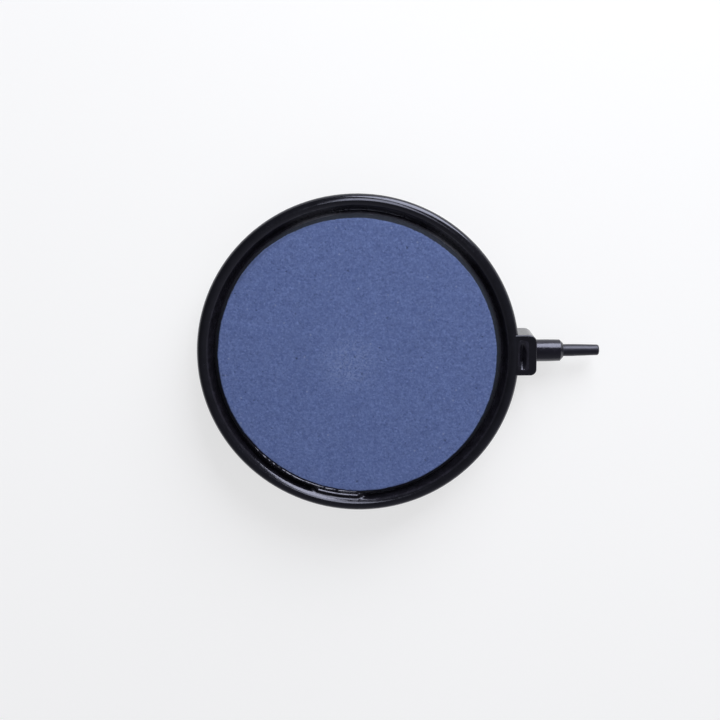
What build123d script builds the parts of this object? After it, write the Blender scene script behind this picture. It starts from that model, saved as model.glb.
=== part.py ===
from build123d import *
import os

# A round air stone: a porous mineral disc bonded into a moulded plastic dish, fed with air by a stepped
# hose nozzle that is potted into a block on the dish's side. Units are millimetres.
#
# The origin is the centre of the disc on its underside. +Z goes up through the porous face, and +X runs
# along the nozzle, away from the disc.

# Dish
DISC_RADIUS = 65.0  # outside of the rolled lip
DISC_HEIGHT = 17.5  # underside to the crest of the lip
LIP_RADIUS = 2.45  # radius of the lip's round section
WALL = 2.4  # usual wall thickness
WALL_TOP_RADIUS = 62.6  # outside of the side wall, just under the lip
WALL_FOOT_RADIUS = 61.9  # outside of the side wall at the underside, with draft
FOOT_EDGE_RADIUS = 1.4  # rounding of the wall's bottom edge
LIP_ROOT_RADIUS = 0.5  # fillet where the lip's underside meets the wall
FLOOR_RECESS = 0.8  # the floor's underside stands this far off the ground
LEDGE_HEIGHT = 9.4  # seat of the stone above the underside
LEDGE_WIDTH = 5.4  # from the side wall to the air chamber
LEDGE_DRAFT = 0.3  # the side wall is this much thicker at the ledge than at the lip
CHANNEL_WIDTH = 2.6  # cored-out channel under the ledge
WEB_COUNT = 24  # stiffening webs across that channel
WEB_THICKNESS = 1.4
WEB_RECESS = 0.8  # the webs stop this far short of the ground
PILLAR_RADIUS = 2.5
INNER_PILLARS = 6
INNER_PILLAR_CIRCLE = 17.0
OUTER_PILLARS = 12
OUTER_PILLAR_CIRCLE = 37.0
GATE_RADIUS = 5.0  # shallow dimple of the moulding gate, under the centre
GATE_DEPTH = 0.5
GATE_STUB_RADIUS = 1.3
GATE_STUB_HEIGHT = 0.35
NOZZLE_BLOCK_WIDTH = 8.4  # solid block across the channel, which the nozzle's inner end crosses

# Boss that holds the nozzle
BOSS_FACE = 71.8  # distance from the disc's axis to the boss's outer face
BOSS_LEFT = 8.4  # its +Y side, with the larger corner
BOSS_RIGHT = 8.1  # its -Y side
BOSS_HEIGHT = 17.3
BOSS_LEFT_CORNER_RADIUS = 3.3
BOSS_RIGHT_CORNER_RADIUS = 2.4
BOSS_EDGE_RADIUS = 0.6
BOSS_ROOT = 61.0  # the boss starts here, inside the thickness of the side wall
POCKET_INNER = 64.8  # side of the slot that is nearer to the disc
POCKET_OUTER = 68.1
POCKET_LENGTH = 11.3
POCKET_CORNER_RADIUS = 1.1
POCKET_FLOOR = 1.6
POCKET_EDGE = 0.3  # chamfer round the slot's mouth

# Nozzle
NOZZLE_HEIGHT = 6.2  # axis of the nozzle above the underside
AIR_BORE_RADIUS = 1.2
PILOT_RADIUS = 2.1  # thin inner end, which crosses the side wall
PILOT_START = 54.6
SHANK_RADIUS = 3.5  # thick inner part, which crosses the boss's outer wall
COLLAR_START = 65.8
LOCK_GROOVE_START = 66.5  # groove that the potting resin grips
LOCK_GROOVE_END = 67.6
LOCK_GROOVE_RADIUS = 2.7
BORE_CLEARANCE = 0.05  # between the nozzle's inner parts and their holes, on the radius
LARGE_RADIUS = 4.5  # large hose size
LARGE_LAND = 6.0  # straight length of the large hose seat
LARGE_END_RADIUS = 4.38
LARGE_LENGTH = 11.8
LARGE_CHAMFER_LENGTH = 1.2
LARGE_CHAMFER_RADIUS = 3.1
SMALL_RADIUS = 2.45  # small hose size
SMALL_LAND = 4.0
SMALL_END_RADIUS = 2.15
SMALL_LENGTH = 14.7
TIP_ROUNDING = 0.8

# Stone
STONE_RADIUS = 57.3
STONE_TOP = 17.6
STONE_EDGE_RADIUS = 0.8

# Resin
RESIN_LAP = 1.2  # the resin laps this far over the stone's edge
RESIN_CREST_HEIGHT = 17.8  # top of the bead along that edge
RESIN_BEAD_WIDTH = 2.0  # width of that bead
RESIN_SHOULDER_HEIGHT = 16.6  # outer foot of the bead
RESIN_WALL_HEIGHT = 14.8  # where the resin's surface meets the side wall
POTTING_HEIGHT = 15.6  # surface of the resin in the slot

# Making
OVERLAP = 0.5  # features of one moulding run this far into each other, and cuts this far past a face
SAME = 0.01  # places closer than this are one place

lip_centre_radius = DISC_RADIUS - LIP_RADIUS
lip_centre_height = DISC_HEIGHT - LIP_RADIUS
wall_inner_radius = DISC_RADIUS - 2 * LIP_RADIUS
wall_middle_radius = wall_inner_radius + WALL / 2
ledge_outer_radius = wall_inner_radius - LEDGE_DRAFT
chamber_radius = ledge_outer_radius - LEDGE_WIDTH
floor_top = FLOOR_RECESS + WALL
channel_outer_radius = WALL_FOOT_RADIUS - WALL
channel_inner_radius = channel_outer_radius - CHANNEL_WIDTH
channel_roof = LEDGE_HEIGHT - WALL
large_end = BOSS_FACE + LARGE_LENGTH
tip = large_end + SMALL_LENGTH
lap_radius = STONE_RADIUS - RESIN_LAP
nozzle_plane = Plane(origin=(0, 0, NOZZLE_HEIGHT), x_dir=(1, 0, 0), z_dir=(0, -1, 0))


def pocket_outline():
    """Draw the slot's rounded outline, in the active sketch."""
    with Locations(((POCKET_INNER + POCKET_OUTER) / 2, 0)):
        RectangleRounded(POCKET_OUTER - POCKET_INNER, POCKET_LENGTH, POCKET_CORNER_RADIUS)


# The dish: the boss first, so that its edges can be rounded before the lip joins it.
with BuildPart() as dish:
    with BuildSketch(Plane.XY):
        with Locations(((BOSS_ROOT + BOSS_FACE) / 2, (BOSS_LEFT - BOSS_RIGHT) / 2)):
            Rectangle(BOSS_FACE - BOSS_ROOT, BOSS_LEFT + BOSS_RIGHT)
    extrude(amount=BOSS_HEIGHT)
    right_corner, left_corner = dish.edges().filter_by(Axis.Z).group_by(Axis.X)[-1].sort_by(Axis.Y)
    fillet(right_corner, BOSS_RIGHT_CORNER_RADIUS)
    fillet(left_corner, BOSS_LEFT_CORNER_RADIUS)
    boss_rims = dish.faces().filter_by(Axis.Z).edges()
    fillet(boss_rims.filter_by(lambda edge: edge.center().X > BOSS_ROOT + SAME), BOSS_EDGE_RADIUS)

    # One turned profile makes the floor, the ledge, the side wall and the lip.
    with BuildSketch(Plane.XZ) as section:
        with BuildLine():
            Polyline(
                (WALL_FOOT_RADIUS, 0),
                (WALL_TOP_RADIUS, lip_centre_height),
                (wall_inner_radius, lip_centre_height),
                (ledge_outer_radius, LEDGE_HEIGHT),
                (chamber_radius, LEDGE_HEIGHT),
                (chamber_radius, floor_top),
                (0, floor_top),
                (0, FLOOR_RECESS),
                (chamber_radius, FLOOR_RECESS),
                (chamber_radius, 0),
                (channel_inner_radius, 0),
                (channel_inner_radius, channel_roof),
                (channel_outer_radius, channel_roof),
                (channel_outer_radius, 0),
                close=True,
            )
        make_face()
        with Locations((lip_centre_radius, lip_centre_height)):
            Circle(LIP_RADIUS)
        foot_corner = section.vertices().group_by(Axis.Y)[0].sort_by(Axis.X)[-1]
        fillet(foot_corner, FOOT_EDGE_RADIUS)
        lip_root = (WALL_TOP_RADIUS, lip_centre_height - LIP_RADIUS)
        fillet(section.vertices().sort_by_distance(lip_root)[0], LIP_ROOT_RADIUS)
    revolve(axis=Axis.Z)

    # Webs stiffen the channel, and a solid block fills it where the nozzle crosses.
    with BuildSketch(Plane.XY.offset(WEB_RECESS)):
        with PolarLocations((channel_inner_radius + channel_outer_radius) / 2, WEB_COUNT):
            Rectangle(CHANNEL_WIDTH + 2 * OVERLAP, WEB_THICKNESS)
        with Locations(((chamber_radius + BOSS_ROOT) / 2, 0)):
            Rectangle(BOSS_ROOT - chamber_radius, NOZZLE_BLOCK_WIDTH)
    extrude(amount=channel_roof - WEB_RECESS + OVERLAP)

    # Pillars carry the middle of the stone.
    with BuildSketch(Plane.XY.offset(floor_top - OVERLAP)):
        with PolarLocations(INNER_PILLAR_CIRCLE, INNER_PILLARS):
            Circle(PILLAR_RADIUS)
        with PolarLocations(OUTER_PILLAR_CIRCLE, OUTER_PILLARS):
            Circle(PILLAR_RADIUS)
    extrude(amount=LEDGE_HEIGHT - floor_top + OVERLAP)

    # Moulding gate under the centre: a dimple with a cut-off stub in it.
    with BuildSketch(Plane.XY.offset(FLOOR_RECESS)):
        Circle(GATE_RADIUS)
        Circle(GATE_STUB_RADIUS, mode=Mode.SUBTRACT)
    extrude(amount=GATE_DEPTH, mode=Mode.SUBTRACT)
    with BuildSketch(Plane.XY.offset(FLOOR_RECESS)):
        Circle(GATE_STUB_RADIUS)
    extrude(amount=GATE_DEPTH - GATE_STUB_HEIGHT, mode=Mode.SUBTRACT)

    # The slot in the boss, with a chamfered mouth, and the nozzle's stepped hole.
    with BuildSketch(Plane.XY.offset(POCKET_FLOOR)):
        pocket_outline()
    extrude(amount=BOSS_HEIGHT, mode=Mode.SUBTRACT)
    level_faces = dish.faces().filter_by(Axis.Z)
    boss_top = level_faces.filter_by(lambda face: abs(face.center().Z - BOSS_HEIGHT) < SAME)[0]
    chamfer(boss_top.inner_wires().edges(), POCKET_EDGE)
    shank_hole = (SHANK_RADIUS, POCKET_OUTER - OVERLAP, BOSS_FACE + OVERLAP)
    pilot_hole = (PILOT_RADIUS, chamber_radius - OVERLAP, POCKET_INNER + OVERLAP)
    for radius, start, end in (shank_hole, pilot_hole):
        with BuildSketch(Plane.YZ.offset(start)):
            with Locations((0, NOZZLE_HEIGHT)):
                Circle(radius + BORE_CLEARANCE)
        extrude(amount=end - start, mode=Mode.SUBTRACT)

# The stone: a plain disc with a worn, rounded upper edge.
with BuildPart() as stone_disc:
    with BuildSketch(Plane.XY.offset(LEDGE_HEIGHT)):
        Circle(STONE_RADIUS)
    extrude(amount=STONE_TOP - LEDGE_HEIGHT)
    fillet(stone_disc.edges().sort_by(Axis.Z)[-1], STONE_EDGE_RADIUS)

# The nozzle: one turned profile, from the air chamber out to the tip of the small hose seat.
with BuildPart() as hose_nozzle:
    with BuildSketch(nozzle_plane) as half:
        with BuildLine():
            Polyline(
                (PILOT_START, AIR_BORE_RADIUS),
                (PILOT_START, PILOT_RADIUS),
                (COLLAR_START, PILOT_RADIUS),
                (COLLAR_START, SHANK_RADIUS),
                (LOCK_GROOVE_START, SHANK_RADIUS),
                (LOCK_GROOVE_START, LOCK_GROOVE_RADIUS),
                (LOCK_GROOVE_END, LOCK_GROOVE_RADIUS),
                (LOCK_GROOVE_END, SHANK_RADIUS),
                (BOSS_FACE, SHANK_RADIUS),
                (BOSS_FACE, LARGE_RADIUS),
                (BOSS_FACE + LARGE_LAND, LARGE_RADIUS),
                (large_end - LARGE_CHAMFER_LENGTH, LARGE_END_RADIUS),
                (large_end, LARGE_CHAMFER_RADIUS),
                (large_end, SMALL_RADIUS),
                (large_end + SMALL_LAND, SMALL_RADIUS),
                (tip, SMALL_END_RADIUS),
                (tip, AIR_BORE_RADIUS),
                close=True,
            )
        make_face()
        tip_corner = half.vertices().group_by(Axis.X)[-1].sort_by(Axis.Y)[-1]
        fillet(tip_corner, TIP_ROUNDING)
    revolve(axis=Axis((0, 0, NOZZLE_HEIGHT), (1, 0, 0)))

# The resin round the stone fills the gap above the ledge and laps over the stone's edge in a low bead. Its
# surface falls from that bead to the side wall.
with BuildPart() as sealing_resin:
    with BuildSketch(Plane.XZ):
        with BuildLine():
            bead = ThreePointArc(
                (lap_radius, STONE_TOP),
                (lap_radius + RESIN_BEAD_WIDTH / 2, RESIN_CREST_HEIGHT),
                (lap_radius + RESIN_BEAD_WIDTH, RESIN_SHOULDER_HEIGHT),
            )
            hollow = TangentArc(bead @ 1, (wall_middle_radius, RESIN_WALL_HEIGHT), tangent=bead % 1)
            Polyline(
                hollow @ 1,
                (wall_middle_radius, LEDGE_HEIGHT),
                (lap_radius, LEDGE_HEIGHT),
                bead @ 0,
            )
        make_face()
    revolve(axis=Axis.Z)
    add(stone_disc.part, mode=Mode.SUBTRACT)
    add(dish.part, mode=Mode.SUBTRACT)

# The resin in the slot surrounds the nozzle's shank and leaves its air bore open.
with BuildPart() as potting_resin:
    with BuildSketch(Plane.XY.offset(POCKET_FLOOR)):
        pocket_outline()
    extrude(amount=POTTING_HEIGHT - POCKET_FLOOR)
    add(hose_nozzle.part, mode=Mode.SUBTRACT)
    with BuildSketch(Plane.YZ.offset(POCKET_INNER)):
        with Locations((0, NOZZLE_HEIGHT)):
            Circle(PILOT_RADIUS)
    extrude(amount=POCKET_OUTER - POCKET_INNER, mode=Mode.SUBTRACT)

os.makedirs("parts", exist_ok=True)

dish.part.label = "dish"
export_step(dish.part, "parts/dish.step")

stone_disc.part.label = "stone_disc"
export_step(stone_disc.part, "parts/stone_disc.step")

hose_nozzle.part.label = "hose_nozzle"
export_step(hose_nozzle.part, "parts/hose_nozzle.step")

sealing_resin.part.label = "sealing_resin"
export_step(sealing_resin.part, "parts/sealing_resin.step")

potting_resin.part.label = "potting_resin"
export_step(potting_resin.part, "parts/potting_resin.step")
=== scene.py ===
import math

import bpy
import numpy as np
from mathutils import Matrix, Vector


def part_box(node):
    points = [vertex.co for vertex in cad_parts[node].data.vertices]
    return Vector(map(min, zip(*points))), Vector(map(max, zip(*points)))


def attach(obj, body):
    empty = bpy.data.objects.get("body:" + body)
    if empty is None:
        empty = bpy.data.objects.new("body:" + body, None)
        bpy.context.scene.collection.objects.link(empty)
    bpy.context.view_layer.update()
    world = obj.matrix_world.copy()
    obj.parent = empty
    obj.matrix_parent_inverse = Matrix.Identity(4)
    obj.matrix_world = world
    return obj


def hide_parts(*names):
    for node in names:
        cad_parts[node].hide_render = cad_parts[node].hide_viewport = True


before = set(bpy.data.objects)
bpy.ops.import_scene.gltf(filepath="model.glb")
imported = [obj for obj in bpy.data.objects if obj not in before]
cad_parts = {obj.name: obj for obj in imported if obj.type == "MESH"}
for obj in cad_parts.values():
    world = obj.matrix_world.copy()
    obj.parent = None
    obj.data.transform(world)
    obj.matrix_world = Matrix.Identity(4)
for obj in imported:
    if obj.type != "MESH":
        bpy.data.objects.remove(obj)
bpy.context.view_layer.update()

# A round air stone, lying on a pale floor. +Z is up and +X runs along its hose nozzle.
# The dish and the nozzle are the CAD's own meshes, with moulded plastic materials. The stone and both
# resins are modelled here: the stone's grain, pits and worn edge, the uneven ring of resin round it, and
# the dimple in the resin of the boss's slot.
MM = 0.001
TURN = 2 * math.pi

# Places and sizes read from the frame
dish_low, dish_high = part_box("dish")
stone_low, stone_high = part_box("stone_disc")
seal_low, seal_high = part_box("sealing_resin")
potting_low, potting_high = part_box("potting_resin")
nozzle_low, nozzle_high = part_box("hose_nozzle")
RIM_TOP = dish_high.z
STONE_TOP = stone_high.z
STONE_BOTTOM = stone_low.z
STONE_RADIUS = stone_high.y
GROOVE_RADIUS = seal_high.y  # the side wall's inner face
RESIN_TOP = seal_high.z
SLOT_CENTRE = (potting_low + potting_high) / 2
SLOT_HALF_WIDTH = (potting_high.x - potting_low.x) / 2
SLOT_HALF_LENGTH = (potting_high.y - potting_low.y) / 2
NOZZLE_AXIS = (nozzle_low.z + nozzle_high.z) / 2  # its height
AIR_BORE_RADIUS = 1.2 * MM
SMALL_SEAT_LENGTH = 14.7 * MM
SMALL_SEAT = nozzle_high.x - SMALL_SEAT_LENGTH  # inner end of the small hose seat

# The lip's round section, which the resin's surface meets
LIP_SECTION_RADIUS = (dish_high.y - GROOVE_RADIUS) / 2
LIP_SECTION_CENTRE = dish_high.y - LIP_SECTION_RADIUS
LIP_SECTION_HEIGHT = RIM_TOP - LIP_SECTION_RADIUS

# Camera
CAMERA_AIM = Vector((1.2 * MM, -0.93 * MM, RIM_TOP))
CAMERA_DISTANCE = 401.2 * MM
CAMERA_TILT = math.radians(12.1)
CAMERA_AZIMUTH = math.radians(79.8)
CAMERA_ROLL = math.radians(-1.0)
CAMERA_LENS = 50.0

# Lights and floor
WINDOW_DISTANCE = 1.2
WINDOW_TILT = math.radians(68.5)
WINDOW_AZIMUTH = math.radians(67)
WINDOW_SIZE = (0.94, 0.84)
WINDOW_RADIANCE = 9.6
LAMP_PLACE = Vector((14, 120, 265)) * MM
LAMP_AIM = Vector((14 * MM, 62 * MM, RIM_TOP))
LAMP_SIZE = (0.085, 0.160)
LAMP_RADIANCE = 6.2
COOL_WHITE = (0.93, 0.95, 1.0)
FLOOR_SIZE = 6
FLOOR_GREY = 0.35
FLOOR_GLOW = 0.66


# Camera, light and floor

def direction(tilt, azimuth):
    """A unit vector, tilt away from straight up, towards azimuth from +X."""
    return Vector((math.sin(tilt) * math.cos(azimuth), math.sin(tilt) * math.sin(azimuth), math.cos(tilt)))


def facing(back):
    """The rotation of a camera or an area light whose back points along a unit vector, with +Y up."""
    right = Vector((0, 1, 0)).cross(back).normalized()
    up = back.cross(right)
    return Matrix((right, up, back)).transposed()


def make_camera():
    """The camera at the photographed viewing angle."""
    camera = bpy.data.objects.new("camera", bpy.data.cameras.new("camera"))
    bpy.context.scene.collection.objects.link(camera)
    camera.data.lens = CAMERA_LENS
    camera.data.sensor_width = 36.0
    camera.data.clip_start = 0.01
    back = direction(CAMERA_TILT, CAMERA_AZIMUTH)
    turned = facing(back) @ Matrix.Rotation(CAMERA_ROLL, 3, "Z")
    camera.matrix_world = Matrix.Translation(CAMERA_AIM + CAMERA_DISTANCE * back) @ turned.to_4x4()
    bpy.context.scene.camera = camera


def make_light(name, place, aim, size, radiance):
    """A soft panel of a width and height at a place, facing a point, as bright as radiance."""
    data = bpy.data.lights.new(name, "AREA")
    data.shape = "RECTANGLE"
    data.size, data.size_y = size
    data.energy = radiance * math.pi * size[0] * size[1]
    data.color = COOL_WHITE
    light = bpy.data.objects.new(name, data)
    light.matrix_world = Matrix.Translation(place) @ facing((place - aim).normalized()).to_4x4()
    light.visible_camera = False
    bpy.context.scene.collection.objects.link(light)
    return light


def make_room():
    """A dim room, darker towards -X and paler low down towards -Y."""
    world = bpy.data.worlds.new("room")
    bpy.context.scene.world = world
    world.use_nodes = True
    nodes, links = world.node_tree.nodes, world.node_tree.links

    def math_node(operation, first, second):
        node = nodes.new("ShaderNodeMath")
        node.operation = operation
        for socket, value in zip(node.inputs, (first, second)):
            if isinstance(value, float):
                socket.default_value = value
            else:
                links.new(value, socket)
        return node.outputs[0]

    split = nodes.new("ShaderNodeSeparateXYZ")
    links.new(nodes.new("ShaderNodeTexCoord").outputs["Generated"], split.inputs[0])
    sideways = math_node("MULTIPLY", split.outputs["X"], 0.07)
    away = math_node("MAXIMUM", math_node("MULTIPLY", split.outputs["Y"], -1.0), 0.0)
    away = math_node("MULTIPLY", math_node("POWER", away, 1.5), 0.22)
    bright = math_node("ADD", math_node("ADD", sideways, away), 0.20)
    background = nodes["Background"]
    background.inputs["Color"].default_value = (0.97, 0.97, 1.06, 1)
    links.new(bright, background.inputs["Strength"])


def make_studio():
    """A wide low window, and a small lamp that only shows in glossy surfaces, over a pale floor."""
    make_room()
    window_place = WINDOW_DISTANCE * direction(WINDOW_TILT, WINDOW_AZIMUTH)
    make_light("window", window_place, Vector((0, 0, 0)), WINDOW_SIZE, WINDOW_RADIANCE)
    lamp = make_light("lamp", LAMP_PLACE, LAMP_AIM, LAMP_SIZE, LAMP_RADIANCE)
    lamp.visible_diffuse = False

    bpy.ops.mesh.primitive_plane_add(size=FLOOR_SIZE)
    floor = bpy.context.object
    floor.name = "floor"
    material = bpy.data.materials.new("floor")
    material.use_nodes = True
    shader = material.node_tree.nodes["Principled BSDF"]
    shader.inputs["Base Color"].default_value = (FLOOR_GREY, FLOOR_GREY, FLOOR_GREY, 1)
    shader.inputs["Roughness"].default_value = 0.7
    shader.inputs["Emission Color"].default_value = (1, 1, 1, 1)
    shader.inputs["Emission Strength"].default_value = FLOOR_GLOW
    floor.data.materials.append(material)
    bpy.context.scene.view_settings.view_transform = "Standard"


# Random relief, always the same for the same place

def scatter(column, row, seed):
    """A random number from 0 to 1 for each cell of a lattice."""
    mixed = column * 73856093 ^ row * 19349663 ^ seed * 83492791
    mixed = (mixed ^ mixed >> 13) * 1274126177 & 0x7FFFFFFF
    mixed = (mixed ^ mixed >> 11) * 668265263 & 0x7FFFFFFF
    return (mixed ^ mixed >> 15) % 65536 / 65535


def relief(x, y, size, seed):
    """Smooth random heights from -1 to 1, with bumps about size across."""
    column = np.floor(x / size).astype(np.int64)
    row = np.floor(y / size).astype(np.int64)
    across = x / size - column
    along = y / size - row
    across = across * across * (3 - 2 * across)
    along = along * along * (3 - 2 * along)
    near = scatter(column, row, seed) * (1 - across) + scatter(column + 1, row, seed) * across
    far = scatter(column, row + 1, seed) * (1 - across) + scatter(column + 1, row + 1, seed) * across
    return 2 * (near * (1 - along) + far * along) - 1


def swell(angle, centre, width):
    """1 at the centre angle and falling smoothly to 0 at width to either side, in degrees."""
    off = np.abs((np.degrees(angle) - centre + 180) % 360 - 180) / width
    return np.where(off < 1, (1 + np.cos(np.pi * np.minimum(off, 1))) / 2, 0)


# Meshes

def add_piece(name, points, faces, node, material):
    """A smooth mesh piece that stands for a CAD node."""
    mesh = bpy.data.meshes.new(name)
    mesh.from_pydata([tuple(p) for p in points], [], [tuple(f) for f in faces])
    mesh.validate()
    mesh.shade_smooth()
    mesh.materials.append(material)
    piece = bpy.data.objects.new(name, mesh)
    bpy.context.scene.collection.objects.link(piece)
    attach(piece, "root")
    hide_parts(node)


def loop_faces(first, second, count):
    """Quads between two closed rings of count points each, given the numbers of their first points."""
    step = np.arange(count)
    onward = (step + 1) % count
    return np.stack([first + step, first + onward, second + onward, second + step], 1)


def fan_faces(centre, first, count, upward):
    """Triangles from a centre point to a closed ring."""
    step = np.arange(count)
    onward = (step + 1) % count
    ends = (first + step, first + onward) if upward else (first + onward, first + step)
    return np.stack([np.full(count, centre), *ends], 1)


def disc_faces(rings):
    """Triangles of a disc whose ring number k has 6k points and starts at point 1 + 3k(k - 1)."""
    faces = [fan_faces(0, 1, 6, True)]
    for ring in range(1, rings):
        inner_first = 1 + 3 * ring * (ring - 1)
        outer_first = 1 + 3 * ring * (ring + 1)
        sector = np.repeat(np.arange(6), ring + 1)
        step = np.tile(np.arange(ring + 1), 6)
        inner = inner_first + (sector * ring + step) % (6 * ring)
        outer = outer_first + sector * (ring + 1) + step
        outer_next = outer_first + (sector * (ring + 1) + step + 1) % (6 * (ring + 1))
        faces.append(np.stack([inner, outer, outer_next], 1))
        kept = step < ring
        inner_next = inner_first + (sector * ring + step + 1) % (6 * ring)
        faces.append(np.stack([inner, outer_next, inner_next], 1)[kept])
    return np.concatenate(faces)


# The stone
STONE_RINGS = 150
STONE_EDGE = 1.42 * MM  # usual width of the worn upper edge
STONE_SINK = 0.06 * MM  # the grain stands this far into the stone's plain surface
STONE_SIDE_ROWS = 10
STONE_FOOT_EDGE = 0.3 * MM  # chamfer of the lower edge
PIT_COUNT = 150
PIT_WIDTH = (0.26, 0.60)  # least and most, in millimetres
PIT_DEPTH = (0.06, 0.18)
# Section of the worn edge: how far across its width, and how far down in millimetres
WORN_EDGE = ((0.12, 0.07), (0.28, 0.24), (0.47, 0.56), (0.68, 0.95), (0.88, 1.28), (1.0, 1.60))


def grain(x, y, z):
    """Height of the stone's grain over its plain surface."""
    fine = relief(x + 0.7 * z, y + 0.6 * z, 0.42 * MM, 11) * 0.026
    medium = relief(x + z, y - z, 0.95 * MM, 12) * 0.026
    coarse = relief(x, y, 3.1 * MM, 13) * 0.012
    return (fine + medium + coarse) * MM


def pits(x, y):
    """Depth of the small pits, where grains are missing."""
    random = np.random.default_rng(21)
    distance = STONE_RADIUS * np.sqrt(random.random(PIT_COUNT))
    angle = TURN * random.random(PIT_COUNT)
    width = np.interp(random.random(PIT_COUNT) ** 3, (0, 1), PIT_WIDTH) * MM
    depth = np.interp(random.random(PIT_COUNT), (0, 1), PIT_DEPTH) * MM
    total = np.zeros_like(x)
    for pit in range(PIT_COUNT):
        off_x = x - distance[pit] * math.cos(angle[pit])
        off_y = y - distance[pit] * math.sin(angle[pit])
        near = 1 - (off_x ** 2 + off_y ** 2) / width[pit] ** 2
        total = np.maximum(total, depth[pit] * np.sqrt(np.clip(near, 0, 1)))
    return total


def worn_width(angle):
    """Width of the worn edge, which is cut back further in some places."""
    near = 0.62 * np.clip(1.8 * swell(angle, 76, 54), 0, 1)
    far = 0.42 * np.clip(1.6 * swell(angle, 234, 36), 0, 1)
    side = 0.33 * swell(angle, 356, 62) - 0.50 * swell(angle, 137, 24)
    around_x, around_y = STONE_RADIUS * np.cos(angle), STONE_RADIUS * np.sin(angle)
    ragged = 0.09 * relief(around_x, around_y, 1.3 * MM, 31) + 0.10 * relief(around_x, around_y, 4 * MM, 32)
    return STONE_EDGE + (near + far + side + ragged) * MM


def make_stone(material):
    """The porous disc: a grained and pitted top, a worn edge, and plain sides."""
    random = np.random.default_rng(20)
    ring = np.repeat(np.arange(1, STONE_RINGS + 1), 6 * np.arange(1, STONE_RINGS + 1))
    first = 3 * ring * (ring - 1)
    angle = TURN * (np.arange(len(ring)) - first) / (6 * ring)
    shake = np.where(ring < STONE_RINGS, 0.33, 0.0)
    reach = (ring + shake * random.uniform(-1, 1, len(ring))) / STONE_RINGS
    angle = angle + shake * random.uniform(-1, 1, len(ring)) / ring
    radius = reach * (STONE_RADIUS - worn_width(angle))
    x = np.append(0.0, radius * np.cos(angle))
    y = np.append(0.0, radius * np.sin(angle))
    z = STONE_TOP - STONE_SINK + grain(x, y, 0) - pits(x, y)
    points = [np.stack([x, y, z], 1)]
    faces = [tuple(face) for face in disc_faces(STONE_RINGS)]

    # The worn edge, the side and the underside are rows of as many points as the outer ring.
    count = 6 * STONE_RINGS
    turn = TURN * np.arange(count) / count
    worn = worn_width(turn)
    rows = []
    for across, down in WORN_EDGE:
        rows.append((STONE_RADIUS - (1 - across) * worn, STONE_TOP - STONE_SINK - down * MM))
    side_low = STONE_BOTTOM + STONE_FOOT_EDGE
    side_high = rows[-1][1]
    for step in range(1, STONE_SIDE_ROWS + 1):
        rows.append((STONE_RADIUS, side_high + (side_low - side_high) * step / STONE_SIDE_ROWS))
    rows.append((STONE_RADIUS - STONE_FOOT_EDGE, STONE_BOTTOM))
    rows.append((STONE_RADIUS / 2, STONE_BOTTOM))
    start = len(x) - count
    edge_x, edge_y = STONE_RADIUS * np.cos(turn), STONE_RADIUS * np.sin(turn)
    for row_radius, height in rows:
        grained = row_radius - STONE_SINK + grain(edge_x, edge_y, height)
        below = len(np.concatenate(points))
        points.append(np.stack([grained * np.cos(turn), grained * np.sin(turn), np.full(count, height)], 1))
        faces.extend(tuple(face) for face in loop_faces(below, start, count))
        start = below
    middle = len(np.concatenate(points))
    points.append(np.array([[0, 0, STONE_BOTTOM]]))
    faces.extend(tuple(face) for face in fan_faces(middle, start, count, False))
    add_piece("porous_disc", np.concatenate(points), faces, "stone_disc", material)


# The resin round the stone
RESIN_AROUND = 1440

# Its section, from under the stone's worn edge across the groove and up the lip's inner face, in
# millimetres: radius beyond the stone's side, height over the stone's top, and how much higher it is
# with the film and with the bank
RESIN_SECTION = (
    (-1.30, -1.40, 0.66, 0.00),
    (-1.15, -1.40, 0.88, 0.00),
    (-1.00, -1.42, 1.10, 0.00),
    (-0.85, -1.45, 1.29, 0.00),
    (-0.72, -1.48, 1.45, 0.00),
    (-0.60, -1.50, 1.53, 0.00),
    (-0.48, -1.52, 1.47, 0.00),
    (-0.30, -1.55, 1.27, 0.00),
    (-0.12, -1.60, 1.00, 0.00),
    (0.02, -1.84, 0.96, 0.02),
    (0.15, -2.08, 0.88, 0.44),
    (0.35, -2.40, 0.70, 1.22),
    (0.55, -2.72, 0.52, 1.92),
    (0.75, -3.03, 0.36, 2.56),
    (0.95, -3.33, 0.18, 3.12),
    (1.20, -3.64, 0.04, 3.42),
    (1.36, -3.84, 0.00, 3.46),
    (1.40, -3.88, 0.00, 3.46),
    (1.44, -3.84, 0.00, 3.40),
    (1.60, -3.58, 0.00, 2.98),
    (1.75, -3.33, 0.00, 2.54),
    (1.95, -3.00, 0.00, 1.96),
    (2.15, -2.66, 0.00, 1.38),
    (2.35, -2.30, 0.00, 0.90),
    (2.52, -1.98, 0.00, 0.58),
    (2.70, -1.66, 0.00, 0.32),
    (2.85, -1.42, 0.00, 0.15),
    (3.00, -1.24, 0.00, 0.06),
    (3.20, -1.05, 0.00, 0.00),
    (3.50, -0.81, 0.00, 0.00),
    (3.80, -0.59, 0.00, 0.00),
    (3.95, -0.53, 0.00, 0.00),
    (3.90, -0.90, 0.00, 0.00),
)
CLIMB_START = 2.6  # the smooth climb up the lip starts this far beyond the stone's side, in millimetres
RESIN_BURIED = 0.25 * MM  # the ring's hidden faces lie this deep in the stone and in the side wall


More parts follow.
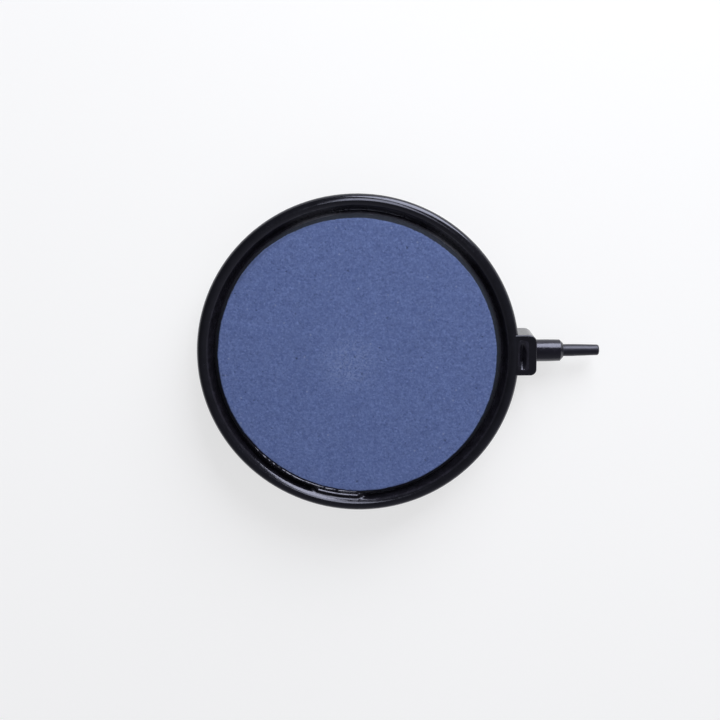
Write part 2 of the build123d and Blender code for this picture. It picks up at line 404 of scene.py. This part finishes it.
def make_resin_ring(material):
    """The ring of resin between the stone and the lip, from its section at each angle."""
    angle = TURN * np.arange(RESIN_AROUND) / RESIN_AROUND
    circle_x, circle_y = STONE_RADIUS * np.cos(angle), STONE_RADIUS * np.sin(angle)

    def wobble(size, seed):
        return relief(circle_x, circle_y, size * MM, seed)

    # On the far side the resin stands in a film on the stone's worn edge and banks up in the groove.
    film = np.clip(swell(angle, 246, 42) * 1.7, 0, 1) * np.clip(0.86 + 0.22 * wobble(1.7, 34), 0, 1)
    bank = np.clip(swell(angle, 261, 14) * 2.6, 0, 1)
    ripple = 0.5 * wobble(0.9, 35) + 0.5 * wobble(2.4, 36)
    lively = 0.02 + 0.09 * film * (1 - 0.8 * bank)

    rows = []
    for out, up, film_up, bank_up in RESIN_SECTION:
        raised = up + film_up * film + bank_up * bank
        if out < CLIMB_START:
            raised = raised + lively * ripple
        rows.append((np.full(RESIN_AROUND, STONE_RADIUS + out * MM), STONE_TOP + raised * MM))
    round_back = (
        (GROOVE_RADIUS + RESIN_BURIED, STONE_TOP - 2.6 * MM),
        (GROOVE_RADIUS, STONE_BOTTOM),
        (STONE_RADIUS - RESIN_BURIED, STONE_BOTTOM),
        (STONE_RADIUS - RESIN_BURIED, STONE_TOP - 2.4 * MM),
        (STONE_RADIUS - 1.2 * MM, STONE_TOP - 1.9 * MM),
    )
    for radius, height in round_back:
        rows.append((np.full(RESIN_AROUND, radius), np.full(RESIN_AROUND, height)))

    points = []
    faces = []
    for number, (radius, height) in enumerate(rows):
        height = np.minimum(height, RESIN_TOP)
        points.append(np.stack([radius * np.cos(angle), radius * np.sin(angle), height], 1))
        following = (number + 1) % len(rows)
        ring = loop_faces(number * RESIN_AROUND, following * RESIN_AROUND, RESIN_AROUND)
        faces.extend(tuple(face) for face in ring[:, ::-1])
    add_piece("resin_bead", np.concatenate(points), faces, "sealing_resin", material)


# The resin in the boss's slot
POTTING_AROUND = 200
POTTING_RINGS = 34
POTTING_FILM = 0.015 * MM  # the resin stands this far over the boss's top, round the slot
SLOT_CORNER = 1.1 * MM  # radius of the slot's corners
# From the slot's mouth to its wall, in millimetres: how far beyond the slot's outline, and how far over
# the boss's top
POTTING_BRIM = ((0.30, 0.012), (0.50, 0.006), (0.60, -0.02), (0.20, -0.60), (-0.01, -1.20))
SMOOTH_BRIM = 0.3  # beyond this distance the film's outline is ragged

# The dimple in that resin, in millimetres. Its crease is along Y, and its two sides differ.
DIMPLE_DEPTH = 2.2
DIMPLE_CREASE = -0.35  # from the slot's middle, along X
DIMPLE_REACH = (1.40, 1.85)  # from the crease to the dimple's -X and +X sides
DIMPLE_LENGTH = (5.65, 5.35)  # from the slot's middle to the dimple's -Y and +Y ends
DIMPLE_END = (2.8, 2.0)  # the larger this is, the blunter that end


def slot_outline(grow):
    """Points round the slot's rounded outline, grown by a distance and evenly spread."""
    corner = SLOT_CORNER + grow
    half_width = SLOT_HALF_WIDTH + grow - corner
    half_length = SLOT_HALF_LENGTH + grow - corner
    runs = (2 * half_length, corner * math.pi / 2, 2 * half_width, corner * math.pi / 2) * 2
    corners = ((1, 1, 0), (-1, 1, 90), (-1, -1, 180), (1, -1, 270))
    outline = []
    for step in range(POTTING_AROUND):
        gone = sum(runs) * step / POTTING_AROUND
        run = 0
        while gone > runs[run]:
            gone -= runs[run]
            run += 1
        side, turned = divmod(run, 2)
        across, along, start = corners[side]
        if turned:
            bend = math.radians(start) + gone / corner
            outline.append((
                across * half_width + corner * math.cos(bend),
                along * half_length + corner * math.sin(bend),
            ))
        else:
            bend = math.radians(start)
            back = runs[run] - gone
            outline.append((
                across * half_width + corner * math.cos(bend) + back * math.sin(bend),
                along * half_length + corner * math.sin(bend) - back * math.cos(bend),
            ))
    return np.array(outline)


def potting_depth(x, y):
    """How far the resin in the slot has sunk: a creased dimple, deepest in the middle, flush all round."""
    across = x / MM - DIMPLE_CREASE
    along = np.abs(y / MM / np.where(y < 0, *DIMPLE_LENGTH)) ** np.where(y < 0, *DIMPLE_END)
    along = np.clip(1 - along, 0, 1)
    reach = np.where(across < 0, *DIMPLE_REACH) * (0.35 + 0.65 * along ** 0.5)
    # The crease is sharp in the middle and rounds off towards the ends, most of all at the -Y end.
    scoop = 0.10 + np.where(y < 0, 0.45, 0.10) * (1 - along)
    off = (np.sqrt((across / reach) ** 2 + scoop ** 2) - scoop) / (np.sqrt(1 + scoop ** 2) - scoop)
    lumps = 1 + 0.08 * relief(x, y, 1.3 * MM, 41)
    return DIMPLE_DEPTH * along * (1 - np.clip(off, 0, 1)) ** 1.25 * lumps * MM


def make_potting(material):
    """The resin in the slot: a dimpled top, a thin brim, and plain sides."""
    brim = top_of_boss()
    inner = slot_outline(0)
    points = [np.array([[0.0, 0.0]])]
    for ring in range(1, POTTING_RINGS + 1):
        points.append(inner * ring / POTTING_RINGS)
    points = np.concatenate(points)
    surface = brim + POTTING_FILM - potting_depth(points[:, 0], points[:, 1])
    points = np.column_stack([points, np.minimum(surface, brim + POTTING_FILM)])
    faces = [tuple(face) for face in fan_faces(0, 1, POTTING_AROUND, True)]
    for ring in range(1, POTTING_RINGS):
        first = 1 + (ring - 1) * POTTING_AROUND
        faces.extend(tuple(f) for f in loop_faces(first + POTTING_AROUND, first, POTTING_AROUND)[:, ::-1])
    # A thin film spreads past the slot's mouth, then come the wall and the bottom.
    ragged = 1 + 0.010 * relief(inner[:, :1], inner[:, 1:], 0.9 * MM, 43)
    last = 1 + (POTTING_RINGS - 1) * POTTING_AROUND
    for grow, over_brim in POTTING_BRIM:
        outline = slot_outline(grow * MM)
        if grow > SMOOTH_BRIM:
            outline = outline * ragged
        rim = len(points)
        height = np.full(POTTING_AROUND, brim + over_brim * MM)
        points = np.concatenate([points, np.column_stack([outline, height])])
        faces.extend(tuple(f) for f in loop_faces(rim, last, POTTING_AROUND)[:, ::-1])
        last = rim
    rim = len(points)
    bottom = np.full(POTTING_AROUND, potting_low.z)
    points = np.concatenate([points, np.column_stack([inner, bottom]), [[0, 0, potting_low.z]]])
    faces.extend(tuple(f) for f in loop_faces(rim, last, POTTING_AROUND)[:, ::-1])
    faces.extend(tuple(f) for f in fan_faces(len(points) - 1, rim, POTTING_AROUND, False))
    points[:, 0] += SLOT_CENTRE.x
    add_piece("slot_resin", points, faces, "potting_resin", material)


def top_of_boss():
    """Height of the boss's top, read from the dish's mesh beyond the lip."""
    corners = np.array([vertex.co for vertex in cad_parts["dish"].data.vertices])
    return float(corners[corners[:, 0] > dish_high.y + 1 * MM, 2].max())


# Materials

PAINTED_REFLECTION_RADIUS = 59 * MM  # painted reflection: lighter patches in the groove at this radius, in two places
PAINTED_REFLECTION_AZIMUTHS = (math.radians(50), math.radians(106))
SPECULAR_TINT = (0.82, 0.83, 1.0, 1)  # of the black plastics and of the resin
POLYMER_IOR = 1.52


class Recipe:
    """Short calls for the nodes of one material. Places are in metres, in the object's own frame."""

    def __init__(self, name):
        self.material = bpy.data.materials.new(name)
        self.material.use_nodes = True
        self.nodes = self.material.node_tree.nodes
        self.links = self.material.node_tree.links
        self.shader = self.nodes["Principled BSDF"]
        self.place = self.nodes.new("ShaderNodeTexCoord").outputs["Object"]

    def join(self, source, target):
        self.links.new(source, target)

    def noise(self, size, detail=2.0, roughness=0.5, distortion=0.0):
        """Smooth noise from 0 to 1, with features about size across."""
        node = self.nodes.new("ShaderNodeTexNoise")
        node.inputs["Scale"].default_value = 1 / size
        node.inputs["Detail"].default_value = detail
        node.inputs["Roughness"].default_value = roughness
        node.inputs["Distortion"].default_value = distortion
        self.join(self.place, node.inputs["Vector"])
        return node.outputs["Fac"]

    def cells(self, size, output="Distance"):
        """Packed cells about size across: the distance from their middles, or a colour for each."""
        node = self.nodes.new("ShaderNodeTexVoronoi")
        node.inputs["Scale"].default_value = 1 / size
        self.join(self.place, node.inputs["Vector"])
        return node.outputs[output]

    def math(self, operation, first, second=0.0):
        """One sum, of sockets or numbers."""
        node = self.nodes.new("ShaderNodeMath")
        node.operation = operation
        for socket, value in zip(node.inputs, (first, second)):
            if isinstance(value, (int, float)):
                socket.default_value = value
            else:
                self.join(value, socket)
        return node.outputs[0]

    def hypotenuse(self, first, second):
        first_square = self.math("MULTIPLY", first, first)
        second_square = self.math("MULTIPLY", second, second)
        return self.math("SQRT", self.math("ADD", first_square, second_square))

    def spread(self, value, low, high, out_low=0.0, out_high=1.0):
        """value between low and high, spread over out_low to out_high and held there beyond."""
        node = self.nodes.new("ShaderNodeMapRange")
        node.interpolation_type = "SMOOTHSTEP"
        node.inputs["From Min"].default_value = low
        node.inputs["From Max"].default_value = high
        node.inputs["To Min"].default_value = out_low
        node.inputs["To Max"].default_value = out_high
        self.join(value, node.inputs["Value"])
        return node.outputs[0]

    def mix(self, factor, first, second):
        """A colour between two colours."""
        node = self.nodes.new("ShaderNodeMix")
        node.data_type = "RGBA"
        colour_inputs = [socket for socket in node.inputs if socket.type == "RGBA"]
        self.join(factor, node.inputs["Factor"])
        for socket, colour in zip(colour_inputs, (first, second)):
            if isinstance(colour, tuple):
                socket.default_value = (*colour, 1)
            else:
                self.join(colour, socket)
        return next(socket for socket in node.outputs if socket.type == "RGBA")

    def axis(self, name):
        """The place's X, Y or Z."""
        node = self.nodes.new("ShaderNodeSeparateXYZ")
        self.join(self.place, node.inputs[0])
        return node.outputs[name]

    def vector_math(self, operation, first, second=None):
        """One sum of vectors, with a number or a vector for its result."""
        node = self.nodes.new("ShaderNodeVectorMath")
        node.operation = operation
        self.join(first, node.inputs[0])
        if second is not None:
            self.join(second, node.inputs[1])
        return node.outputs["Value" if operation in ("DISTANCE", "LENGTH") else "Vector"]

    def from_axis(self):
        """Distance from the disc's axis."""
        flat = self.vector_math("MULTIPLY", self.place, self.combine(1, 1, 0))
        return self.vector_math("LENGTH", flat)

    def combine(self, x, y, z):
        """A vector from sockets or numbers."""
        node = self.nodes.new("ShaderNodeCombineXYZ")
        for socket, value in zip(node.inputs, (x, y, z)):
            if isinstance(value, (int, float)):
                socket.default_value = value
            else:
                self.join(value, socket)
        return node.outputs[0]

    def exact_normal(self, normal, where):
        """A smooth normal where a mask is 1, and the mesh's own normal elsewhere."""
        world_normal = self.nodes.new("ShaderNodeVectorTransform")
        world_normal.vector_type = "NORMAL"
        world_normal.convert_from = "OBJECT"
        world_normal.convert_to = "WORLD"
        self.join(normal, world_normal.inputs[0])
        blend = self.nodes.new("ShaderNodeMix")
        blend.data_type = "VECTOR"
        vectors = [socket for socket in blend.inputs if socket.type == "VECTOR" and socket.name in "AB"]
        self.join(where, blend.inputs["Factor"])
        self.join(self.nodes.new("ShaderNodeNewGeometry").outputs["Normal"], vectors[0])
        self.join(world_normal.outputs[0], vectors[1])
        return next(socket for socket in blend.outputs if socket.type == "VECTOR")

    def lip_normal(self):
        """The exact normal of the lip's round section, for highlights with no facets."""
        x, y, z = self.axis("X"), self.axis("Y"), self.axis("Z")
        radius = self.hypotenuse(x, y)
        out = self.math("SUBTRACT", radius, LIP_SECTION_CENTRE)
        up = self.math("SUBTRACT", z, LIP_SECTION_HEIGHT)
        reach = self.hypotenuse(out, up)
        off = self.math("ABSOLUTE", self.math("SUBTRACT", reach, LIP_SECTION_RADIUS))
        on_lip = self.spread(off, 0.05 * MM, 0.07 * MM, 1.0, 0.0)
        along = self.math("DIVIDE", out, radius)
        normal = self.combine(self.math("MULTIPLY", x, along), self.math("MULTIPLY", y, along), up)
        return self.exact_normal(self.vector_math("NORMALIZE", normal), on_lip)

    def turned_normal(self):
        """The exact normal of a body turned about the nozzle's axis."""
        y = self.axis("Y")
        z = self.math("SUBTRACT", self.axis("Z"), NOZZLE_AXIS)
        radius = self.hypotenuse(y, z)
        split = self.nodes.new("ShaderNodeSeparateXYZ")
        self.join(self.nodes.new("ShaderNodeTexCoord").outputs["Normal"], split.inputs[0])
        lean = split.outputs["X"]
        around = self.math("SUBTRACT", 1.0, self.math("MULTIPLY", lean, lean))
        around = self.math("DIVIDE", self.math("SQRT", self.math("MAXIMUM", around, 0.0)), radius)
        normal = self.combine(lean, self.math("MULTIPLY", y, around), self.math("MULTIPLY", z, around))
        outside = self.spread(radius, AIR_BORE_RADIUS + 0.10 * MM, AIR_BORE_RADIUS + 0.14 * MM)
        return self.exact_normal(self.vector_math("NORMALIZE", normal), outside)

    def bump(self, height, distance, strength=1.0, after=None):
        """Fine relief of distance from lowest to highest."""
        node = self.nodes.new("ShaderNodeBump")
        node.inputs["Strength"].default_value = strength
        node.inputs["Distance"].default_value = distance
        self.join(height, node.inputs["Height"])
        if after is not None:
            self.join(after, node.inputs["Normal"])
        return node.outputs["Normal"]

    def finish(self, colour, roughness, normal):
        """Joins the results to the shader and hands over the material."""
        self.join(colour, self.shader.inputs["Base Color"])
        self.join(roughness, self.shader.inputs["Roughness"])
        self.join(normal, self.shader.inputs["Normal"])
        return self.material


def stone_material():
    """Sintered blue-grey mineral: grains of different blues, dark spots, pale specks, a stained edge."""
    recipe = Recipe("porous_mineral")
    grains = recipe.cells(0.72 * MM, "Color")
    split = recipe.nodes.new("ShaderNodeSeparateColor")
    recipe.join(grains, split.inputs[0])
    tone = recipe.mix(split.outputs[0], (0.096, 0.138, 0.318), (0.155, 0.217, 0.455))
    mottle = recipe.spread(recipe.noise(1.05 * MM, 2.0, 0.55), 0.38, 0.62, 0.0, 0.55)
    tone = recipe.mix(mottle, tone, (0.100, 0.141, 0.320))
    clouds = recipe.spread(recipe.noise(7 * MM, 4.0, 0.65), 0.35, 0.70, 0.0, 0.14)
    tone = recipe.mix(clouds, tone, (0.160, 0.220, 0.440))
    rubbed_middle = recipe.combine(-3 * MM, -2 * MM, STONE_TOP)
    rubbed = recipe.vector_math("DISTANCE", recipe.place, rubbed_middle)
    rubbed = recipe.spread(rubbed, 3 * MM, 17 * MM, 0.75, 0.0)
    streaks = recipe.spread(recipe.noise(1.4 * MM, 3.0, 0.6, 1.5), 0.42, 0.62)
    rubbed = recipe.math("MULTIPLY", rubbed, streaks)
    tone = recipe.mix(rubbed, tone, (0.200, 0.264, 0.482))
    pale = recipe.spread(recipe.noise(0.9 * MM, 2.0, 0.5), 0.58, 0.72, 0.0, 0.38)
    tone = recipe.mix(pale, tone, (0.175, 0.240, 0.468))
    dark = recipe.spread(recipe.noise(0.85 * MM, 2.0), 0.27, 0.40, 0.50, 0.0)
    tone = recipe.mix(dark, tone, (0.060, 0.088, 0.215))
    speck = recipe.spread(recipe.cells(5.2 * MM), 0.050, 0.105, 0.50, 0.0)
    tone = recipe.mix(speck, tone, (0.26, 0.32, 0.50))
    stained = recipe.math("MULTIPLY", recipe.noise(0.8 * MM, 3.0), 0.22 * MM)
    stained = recipe.math("SUBTRACT", recipe.axis("Z"), stained)
    stained = recipe.spread(stained, STONE_TOP - 0.46 * MM, STONE_TOP - 0.13 * MM, 1.0, 0.0)
    radius = recipe.from_axis()
    near_edge = recipe.spread(radius, STONE_RADIUS - 2.7 * MM, STONE_RADIUS - 1.5 * MM, 0.0, 0.36)
    near_side = recipe.spread(recipe.axis("Y"), 0.30 * STONE_RADIUS, 0.62 * STONE_RADIUS)
    stained = recipe.math("MAXIMUM", stained, recipe.math("MULTIPLY", near_edge, near_side))
    stain = recipe.mix(recipe.noise(0.7 * MM, 3.0, 0.7), (0.0040, 0.0050, 0.0085), (0.0170, 0.0215, 0.0330))
    tone = recipe.mix(stained, tone, stain)
    relief_fine = recipe.bump(recipe.cells(0.40 * MM), 0.05 * MM, 0.55)
    relief_all = recipe.bump(recipe.noise(0.9 * MM, 3.0, 0.6), 0.10 * MM, 0.5, relief_fine)
    rough = recipe.spread(split.outputs[1], 0.0, 1.0, 0.80, 0.95)
    recipe.shader.inputs["Specular IOR Level"].default_value = 0.25
    return recipe.finish(tone, rough, relief_all)


def plastic_material(name, dark, light, shine, scuffed, parting, smooth_normal):
    """Glossy black moulded plastic: faint orange peel, uneven shine, hairline scuffs and a parting line.

    The nozzle's small hose seat is duller.
    """
    recipe = Recipe(name)
    mottle = recipe.spread(recipe.noise(4 * MM, 5.0, 0.6), 0.30, 0.72)
    tone = recipe.mix(mottle, dark, light)
    dust = recipe.spread(recipe.noise(0.5 * MM, 2.0, 0.7), 0.66, 0.78, 0.0, 0.35)
    tone = recipe.mix(dust, tone, tuple(3.2 * channel for channel in light))
    shine_patches = recipe.spread(recipe.noise(2.6 * MM, 4.0, 0.62, 0.4), 0.32, 0.70, shine[0], shine[1])
    hairlines = recipe.nodes.new("ShaderNodeTexWave")
    hairlines.wave_type = "BANDS"
    hairlines.bands_direction = "DIAGONAL"
    hairlines.inputs["Scale"].default_value = 190.0
    hairlines.inputs["Distortion"].default_value = 34.0
    hairlines.inputs["Detail"].default_value = 3.0
    hairlines.inputs["Detail Scale"].default_value = 0.7
    recipe.join(recipe.place, hairlines.inputs["Vector"])
    scratch = recipe.spread(hairlines.outputs["Fac"], 0.965, 0.995, 0.0, scuffed)
    worn = recipe.spread(recipe.noise(7 * MM, 3.0), 0.50, 0.66)
    scratch = recipe.math("MULTIPLY", scratch, worn)
    rough = recipe.math("ADD", shine_patches, scratch)
    handled = recipe.spread(recipe.axis("X"), SMALL_SEAT - 1 * MM, SMALL_SEAT, 0.0, 0.20)
    rough = recipe.math("ADD", rough, handled)
    seam = recipe.math("ABSOLUTE", recipe.math("SUBTRACT", recipe.axis("Z"), parting))
    seam = recipe.spread(seam, 0.03 * MM, 0.09 * MM, 1.0, 0.0)
    normal = recipe.bump(recipe.noise(1.5 * MM, 2.0), 0.008 * MM, 0.6, smooth_normal(recipe))
    normal = recipe.bump(recipe.noise(0.22 * MM, 2.0), 0.0015 * MM, 0.6, normal)
    normal = recipe.bump(seam, 0.03 * MM, 0.8, normal)
    recipe.shader.inputs["IOR"].default_value = POLYMER_IOR
    recipe.shader.inputs["Specular Tint"].default_value = SPECULAR_TINT
    return recipe.finish(tone, rough, normal)


def resin_material():
    """Cured black epoxy: wet shine, uneven in patches, over small waves, and dusty next to the stone. Two
    lighter patches in the groove are painted reflection.
    """
    recipe = Recipe("cured_epoxy")
    patches = recipe.spread(recipe.noise(3 * MM, 4.0, 0.6), 0.35, 0.70)
    tone = recipe.mix(patches, (0.0078, 0.0073, 0.0104), (0.0145, 0.0136, 0.0200))
    dusted = recipe.spread(recipe.from_axis(), STONE_RADIUS, STONE_RADIUS + 1.2 * MM, 1.0, 0.0)
    sunk = recipe.spread(recipe.axis("Z"), STONE_TOP - 2.0 * MM, STONE_TOP - 1.3 * MM, 1.0, 0.0)
    dusted = recipe.math("MULTIPLY", dusted, sunk)
    tone = recipe.mix(dusted, tone, (0.0170, 0.0170, 0.0220))
    # Painted reflection: two lighter patches in the groove, standing in for the room's light that a
    # shallower groove bottom would reflect there.
    for painted_azimuth in PAINTED_REFLECTION_AZIMUTHS:
        painted_x = PAINTED_REFLECTION_RADIUS * math.cos(painted_azimuth)
        painted_y = PAINTED_REFLECTION_RADIUS * math.sin(painted_azimuth)
        painted_reflection_middle = recipe.combine(painted_x, painted_y, STONE_TOP - 2 * MM)
        painted_reflection = recipe.spread(recipe.vector_math("DISTANCE", recipe.place, painted_reflection_middle), 4 * MM, 14 * MM, 1.0, 0.0)
        painted_reflection_patchiness = recipe.spread(recipe.noise(1.2 * MM, 3.0), 0.30, 0.55, 0.4, 1.0)
        painted_reflection = recipe.math("MULTIPLY", painted_reflection, painted_reflection_patchiness)
        tone = recipe.mix(painted_reflection, tone, (0.0480, 0.0480, 0.0560))
    rough = recipe.spread(recipe.noise(1.8 * MM, 3.0), 0.38, 0.66, 0.10, 0.22)
    rough = recipe.math("ADD", rough, recipe.math("MULTIPLY", dusted, 0.35))
    normal = recipe.bump(recipe.noise(1.1 * MM, 2.0), 0.05 * MM, 0.4)
    normal = recipe.bump(recipe.noise(0.35 * MM, 2.0), 0.010 * MM, 0.5, normal)
    recipe.shader.inputs["IOR"].default_value = POLYMER_IOR
    recipe.shader.inputs["Specular Tint"].default_value = SPECULAR_TINT
    return recipe.finish(tone, rough, normal)


def finish_node(name, material):
    """Gives a CAD mesh its material."""
    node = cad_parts[name]
    node.data.materials.clear()
    node.data.materials.append(material)


make_camera()
make_studio()

resin = resin_material()
make_stone(stone_material())
make_resin_ring(resin)
make_potting(resin)
dish_plastic = plastic_material(
    "dish_plastic", (0.0018, 0.0018, 0.0030), (0.0040, 0.0040, 0.0062), (0.11, 0.19), 0.12,
    LIP_SECTION_HEIGHT, Recipe.lip_normal,
)
nozzle_plastic = plastic_material(
    "nozzle_plastic", (0.0026, 0.0022, 0.0048), (0.0050, 0.0044, 0.0085), (0.15, 0.24), 0.08,
    NOZZLE_AXIS, Recipe.turned_normal,
)
finish_node("dish", dish_plastic)
finish_node("hose_nozzle", nozzle_plastic)
